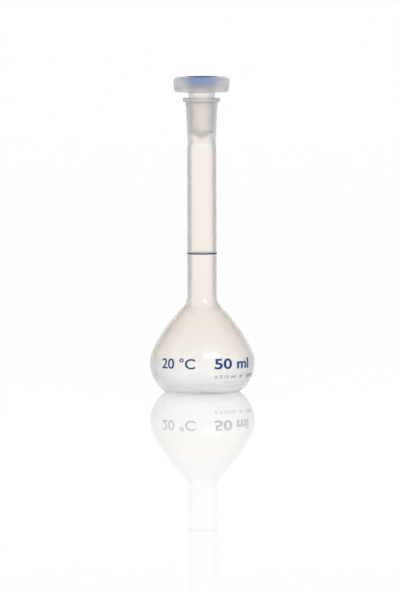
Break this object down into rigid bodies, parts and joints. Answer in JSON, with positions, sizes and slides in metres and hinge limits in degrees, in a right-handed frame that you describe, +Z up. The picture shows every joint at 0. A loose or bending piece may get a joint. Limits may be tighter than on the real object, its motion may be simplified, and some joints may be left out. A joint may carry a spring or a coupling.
{
  "type": "volumetric flask",
  "caption": "Squat round-bulbed measuring flask of translucent plastic with a long narrow neck, a printed ring mark, and a hollow taper stopper that lifts out of its socket.",
  "frame": {"origin": "centre of the foot ring, on the surface the flask stands on", "axes": "+Z up along the flask's axis, towards the stopper; the printed figures face -Y"},
  "size_m": [0.0502, 0.0502, 0.1509],
  "materials": {
    "flask_plastic": "milky translucent polypropylene, smooth moulded skin",
    "mark_ink": "printed ink, satin",
    "stopper_plastic": "milky translucent polyethylene, soft waxy gloss",
    "insert_plastic": "blue moulded plastic, satin"
  },
  "bodies": {
    "flask": {"flask_body": "flask_plastic", "graduation_ring": "mark_ink"},
    "stopper": {"stopper_body": "stopper_plastic", "stopper_insert": "insert_plastic"}
  },
  "joints": [
    {"name": "stopper_lift", "type": "slide", "parent": "flask", "child": "stopper", "axis": [0, 0, 1], "range_m": [0, 0.06]}
  ]
}
